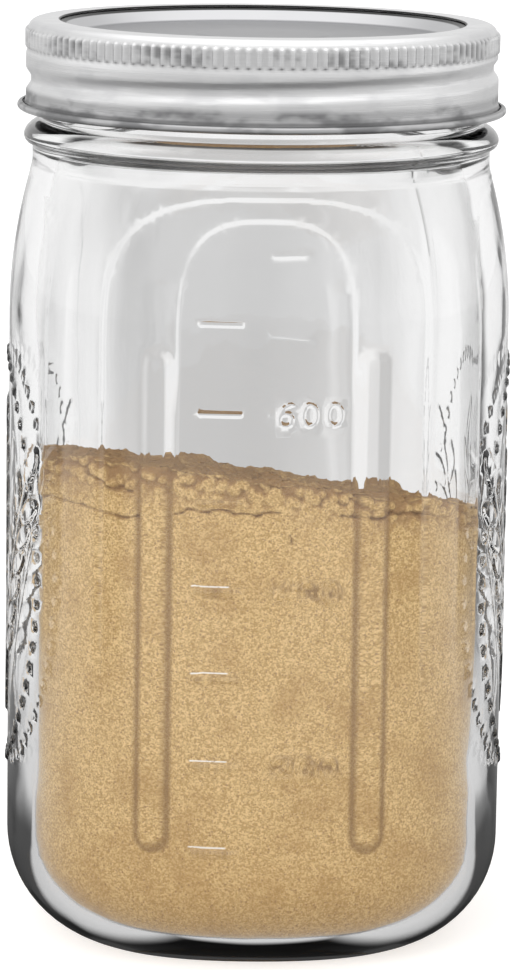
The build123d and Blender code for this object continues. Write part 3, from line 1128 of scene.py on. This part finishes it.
class BandForm:
    """The outline and relief of the screw band."""

    def __init__(self, settings):
        self.sizes = settings.band
        self.pitch = settings.glass.thread_pitch
        self.bottom, self.top = (corner.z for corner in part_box("screw_band"))
        self.bead_z = self.bottom + self.sizes.bead

    def skirt(self, z):
        """Radius of the wall: it is drawn in at the grip bars and opens out to the bead."""
        sizes = self.sizes
        share = max(0.0, 1 - (z - self.bead_z) / sizes.flare_height)
        bars = self.top - sizes.knurl_top - sizes.knurl_length
        taper = float(smooth(bars - 1.4 * MM, bars + 0.3 * MM, z))
        return sizes.outer + sizes.flare * share**2 - sizes.taper * taper

    def outline(self):
        """Outside of the sheet, from the opening over the corner down and round the bead."""
        sizes = self.sizes
        turn = sizes.corner
        edge = 0.25 * MM
        points = [(sizes.opening, self.top - edge)]
        points += arc((sizes.opening + edge, self.top - edge), edge, 180, 90, 3)
        outer = sizes.outer - sizes.taper
        points += line((sizes.opening + edge, self.top), (outer - turn, self.top), 6)
        points += arc((outer - turn, self.top - turn), turn, 90, 0, 8)
        start = self.top - turn
        for i in range(1, 33):
            z = start + (self.bead_z - start) * i / 32
            points.append((self.skirt(z), z))
        curl = sizes.bead - sizes.sheet
        centre = (sizes.outer + sizes.flare + curl, self.bead_z)
        points += arc(centre, curl, 180, 470, 20)
        return points

    def bars(self, points):
        """The grip bars, and the gaps between them."""
        sizes = self.sizes
        pitch = math.tau / sizes.knurls
        angle = np.arctan2(points[:, 1], points[:, 0])
        aside = abs(np.mod(angle + pitch / 2, pitch) - pitch / 2) * sizes.outer
        middle = self.top - sizes.knurl_top - sizes.knurl_length / 2
        bar = inside(aside - sizes.knurl_width / 2, 0.7 * MM)
        row = inside(abs(points[:, 2] - middle) - sizes.knurl_length / 2, 0.6 * MM)
        return bar * row, (1 - bar) * row

    def relief(self, points):
        """Grip bars outwards and the pressed thread inwards."""
        sizes = self.sizes
        z = points[:, 2]
        bar = self.bars(points)[0]
        angle = np.arctan2(points[:, 1], points[:, 0])
        turned = np.mod(angle - sizes.groove_start, math.tau) / math.tau
        groove = np.zeros(len(points))
        for turn in (-1, 0, 1):
            share = turned + turn
            away = abs(z - (self.top - sizes.groove_below) - self.pitch * share)
            ends = smooth(-0.04, 0.04, share) * (1 - smooth(0.96, 1.04, share))
            shape = inside(away - sizes.groove_width / 2, 1.9 * MM) * ends
            groove = np.maximum(groove, shape)
        height = sizes.knurl_proud * bar - sizes.groove_depth * groove
        radius = np.hypot(points[:, 0], points[:, 1])
        return np.where(radius > sizes.outer - sizes.taper - 0.2 * MM, height, 0)


class STARTERJAR_OT_band(Operator):
    """Add the screw band with its grip bars, pressed thread and bead"""

    bl_idname = "starterjar.band"
    bl_label = "Screw Band"
    bl_options = {"REGISTER", "UNDO"}

    def execute(self, context):
        settings = context.scene.starter_jar
        form = BandForm(settings)
        bm = spun(form.outline(), columns=2 * settings.band.knurls)
        refine(bm, form.relief, tolerance=0.03 * MM, rounds=2)
        move_out(bm, form.relief(places(bm.verts)))
        bmesh.ops.recalc_face_normals(bm, faces=bm.faces)
        bmesh.ops.solidify(bm, geom=bm.faces[:], thickness=settings.band.sheet)
        bmesh.ops.recalc_face_normals(bm, faces=bm.faces)
        # Painted shade in the gaps between the grip bars, in the "hollow" layer
        paint_shade(bm, form.bars(places(bm.verts))[1])
        tinplate = band_material(settings.finish, settings.band.opening)
        piece("tin_band", bm, tinplate, "band", "screw_band", sharp=True)
        return {"FINISHED"}


class STARTERJAR_OT_lid(Operator):
    """Add the flat lid with its slope, panel and raised middle"""

    bl_idname = "starterjar.lid"
    bl_label = "Lid"
    bl_options = {"REGISTER", "UNDO"}

    def execute(self, context):
        settings = context.scene.starter_jar
        sizes = settings.lid
        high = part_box("lid_disc")[1]
        radius, top = high.x, high.z
        panel = top - sizes.depth
        button = panel + sizes.button_height
        lip = 0.9 * MM
        corners = [
            (0, button), (sizes.button, button), (sizes.button + MM, panel),
            (sizes.slope_outer - sizes.slope_width, panel), (sizes.slope_outer, top),
            (radius, top), (radius, top - lip),
        ]
        bm = spun(rounded(corners, sizes.bend), columns=160)
        bmesh.ops.solidify(bm, geom=bm.faces[:], thickness=sizes.sheet)
        bmesh.ops.recalc_face_normals(bm, faces=bm.faces)
        tinplate = lid_material(settings.finish, sizes.slope_outer)
        piece("tin_lid", bm, tinplate, "lid", "lid_disc", sharp=True)
        return {"FINISHED"}


class STARTERJAR_OT_seal(Operator):
    """Give the sealing ring its finish"""

    bl_idname = "starterjar.seal"
    bl_label = "Sealing Ring"
    bl_options = {"REGISTER", "UNDO"}

    def execute(self, context):
        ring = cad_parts["seal_ring"]
        ring.material_slots[0].material = seal_material(context.scene.starter_jar.finish)
        return {"FINISHED"}


def backdrop(nodes, x, lift):
    """What glass shows of the far side: pale, palest beside the middle, dark at the sides."""
    board_tone, paper_tone, beside_tone = 0.02, 0.60, 0.36
    aside = abs(x)
    board = nodes.larger(nodes.soft_step(aside, 0.74, 0.9), nodes.soft_step(x, 0.66, 0.8))
    board = board * nodes.soft_step(aside, 0.985, 0.95)
    paler = nodes.larger(beside_tone * nodes.soft_step(aside, 0.03, 0.22), lift)
    return board_tone + (paper_tone + paler) * (1 - board)


def under_glass(nodes, x, y, flat):
    """What glass shows of the floor, painted as a glow: a painted shadow, dark below and close
    behind the jar, and pale elsewhere.
    """
    near_tone, dark_tone, far_lift = 0.72, 0.07, 0.33
    beside = nodes.soft_step(abs(x) - y, 49 * MM, 57 * MM)
    before = nodes.soft_step(0 - y, 35.5 * MM, 37.5 * MM)
    longer = 80 * MM * nodes.soft_step(abs(x) / flat, 0.7, 0.5)
    beyond = nodes.soft_step(flat - longer, 95 * MM, 150 * MM)
    clear = nodes.larger(nodes.larger(beside, before), beyond)
    dark = dark_tone * nodes.soft_step(flat, 36 * MM, 46 * MM)
    far = backdrop(nodes, x / flat, far_lift * nodes.soft_step(flat, 0.9, 2.2))
    pale = near_tone + nodes.soft_step(flat, 0.15, 0.4) * (far - near_tone)
    return pale * clear + dark * (1 - clear)


def floor_material(finish):
    """A pale matt floor, white to the camera, whose glows for glass and metal are painted: a
    painted shadow near the jar, and a painted reflection for metal.
    """
    made, nodes = material("stage_floor")
    here = nodes.place()
    x, y, _ = nodes.split(here)
    flat = nodes.add("VectorMath", {"operation": "LENGTH"}, {0: here}, "Value")
    through = under_glass(nodes, x, y, flat)
    # Painted reflection for metal: dark near the jar, paler farther out
    gloss = 0.05 + 0.62 * nodes.soft_step(flat, 0.05, 0.3)
    matt = nodes.add("BsdfDiffuse", None, {"Color": finish.floor})
    lift = nodes.add("Emission", None, {"Color": WHITE, "Strength": 0.42})
    seen = nodes.add("AddShader", None, {0: matt, 1: lift})
    shown = nodes.add("MixShader", None, {0: nodes.rays("Camera"), 1: matt, 2: seen})
    for rays, tone in (("Glossy", gloss), ("Transmission", through)):
        glow = nodes.add("Emission", None, {"Color": tone})
        shown = nodes.add("MixShader", None, {0: nodes.rays(rays), 1: shown, 2: glow})
    nodes.add("OutputMaterial", None, {"Surface": shown})
    return made


def studio_world():
    """Soft light from the front and above, a white backdrop and dark boards at the sides."""
    world = bpy.data.worlds.new("studio")
    world.use_nodes = True
    nodes = Nodes(world.node_tree)
    direction = nodes.add("TexCoord", output="Generated")
    x, _, up = nodes.split(direction)
    facing = nodes.add(
        "VectorMath", {"operation": "DOT_PRODUCT"}, {0: direction, 1: (-0.35, -0.8, 0.5)}, "Value"
    )
    softbox = 0.75 + 0.6 * nodes.soft_step(facing, 0.3, 0.95)
    shine = 0.87 + 0.7 * nodes.soft_step(up, 0.5, 0.9) + 0.3 * nodes.soft_step(abs(x), 0.8, 0.97)
    tone = softbox
    for rays, level in (
        ("Glossy", shine), ("Transmission", backdrop(nodes, x, 0.35)), ("Camera", WHITE),
    ):
        tone = nodes.mix(nodes.rays(rays), tone, level)
    sky = nodes.add("Background", None, {"Color": tone})
    nodes.add("OutputWorld", None, {"Surface": sky})
    return world


# Lamps: name, place, and power in watts
LAMPS = (
    ("key_softbox", (-0.9, -0.9, 1.1), 6.0),
    ("fill_softbox", (1.1, -0.6, 0.8), 4.5),
)


class STARTERJAR_OT_stage(Operator):
    """Add the floor, the light and the camera"""

    bl_idname = "starterjar.stage"
    bl_label = "Stage"
    bl_options = {"REGISTER", "UNDO"}

    def execute(self, context):
        scene = context.scene
        settings = scene.starter_jar
        stage = settings.stage
        bm = bmesh.new()
        bmesh.ops.create_circle(bm, cap_ends=True, segments=96, radius=stage.floor_radius)
        mesh = bpy.data.meshes.new("stage_floor")
        bm.to_mesh(mesh)
        bm.free()
        mesh.materials.append(floor_material(settings.finish))
        floor = bpy.data.objects.new("stage_floor", mesh)
        scene.collection.objects.link(floor)

        scene.world = studio_world()
        middle = Vector((0, 0, stage.aim))
        for name, spot, power in LAMPS:
            lamp = bpy.data.lights.new(name, "AREA")
            lamp.shape = "SQUARE"
            lamp.size = stage.lamp_width
            lamp.energy = power
            holder = bpy.data.objects.new(name, lamp)
            turn = (middle - Vector(spot)).to_track_quat("-Z", "Y")
            holder.matrix_world = Matrix.Translation(spot) @ turn.to_matrix().to_4x4()
            holder.visible_glossy = False
            holder.visible_transmission = False
            scene.collection.objects.link(holder)

        camera = bpy.data.objects.new("camera", bpy.data.cameras.new("camera"))
        camera.data.lens = stage.lens
        camera.data.sensor_width = 36.0
        camera.matrix_world = (
            Matrix.Translation((stage.camera_x, stage.camera_y, stage.camera_z))
            @ Matrix.Rotation(-stage.yaw, 4, "Z")
            @ Matrix.Rotation(math.pi / 2 - stage.pitch, 4, "X")
            @ Matrix.Rotation(stage.roll, 4, "Z")
        )
        scene.collection.objects.link(camera)
        scene.camera = camera
        scene.view_settings.view_transform = "Standard"
        return {"FINISHED"}


OPERATORS = (
    STARTERJAR_OT_glass, STARTERJAR_OT_starter, STARTERJAR_OT_lid, STARTERJAR_OT_seal,
    STARTERJAR_OT_band, STARTERJAR_OT_stage,
)


class STARTERJAR_PT_panel(Panel):
    """The jar's pieces in the 3D view's sidebar"""

    bl_label = "Sourdough Starter Jar"
    bl_space_type = "VIEW_3D"
    bl_region_type = "UI"
    bl_category = "Starter Jar"

    def draw(self, context):
        for operator in OPERATORS:
            self.layout.operator(operator.bl_idname)


GROUPS = (
    GlassSizes, MarkSizes, StarterSizes, BandSizes, LidSizes, Finishes, StageSizes,
    StarterJarSettings,
)


def register():
    for group in (*GROUPS, *OPERATORS, STARTERJAR_PT_panel):
        bpy.utils.register_class(group)
    bpy.types.Scene.starter_jar = PointerProperty(type=StarterJarSettings)


def unregister():
    del bpy.types.Scene.starter_jar
    for group in reversed((*GROUPS, *OPERATORS, STARTERJAR_PT_panel)):
        bpy.utils.unregister_class(group)


def main():
    """Builds every piece and the stage."""
    register()
    bpy.ops.starterjar.glass()
    bpy.ops.starterjar.starter()
    bpy.ops.starterjar.lid()
    bpy.ops.starterjar.seal()
    bpy.ops.starterjar.band()
    bpy.ops.starterjar.stage()


if __name__ == "__main__":
    main()
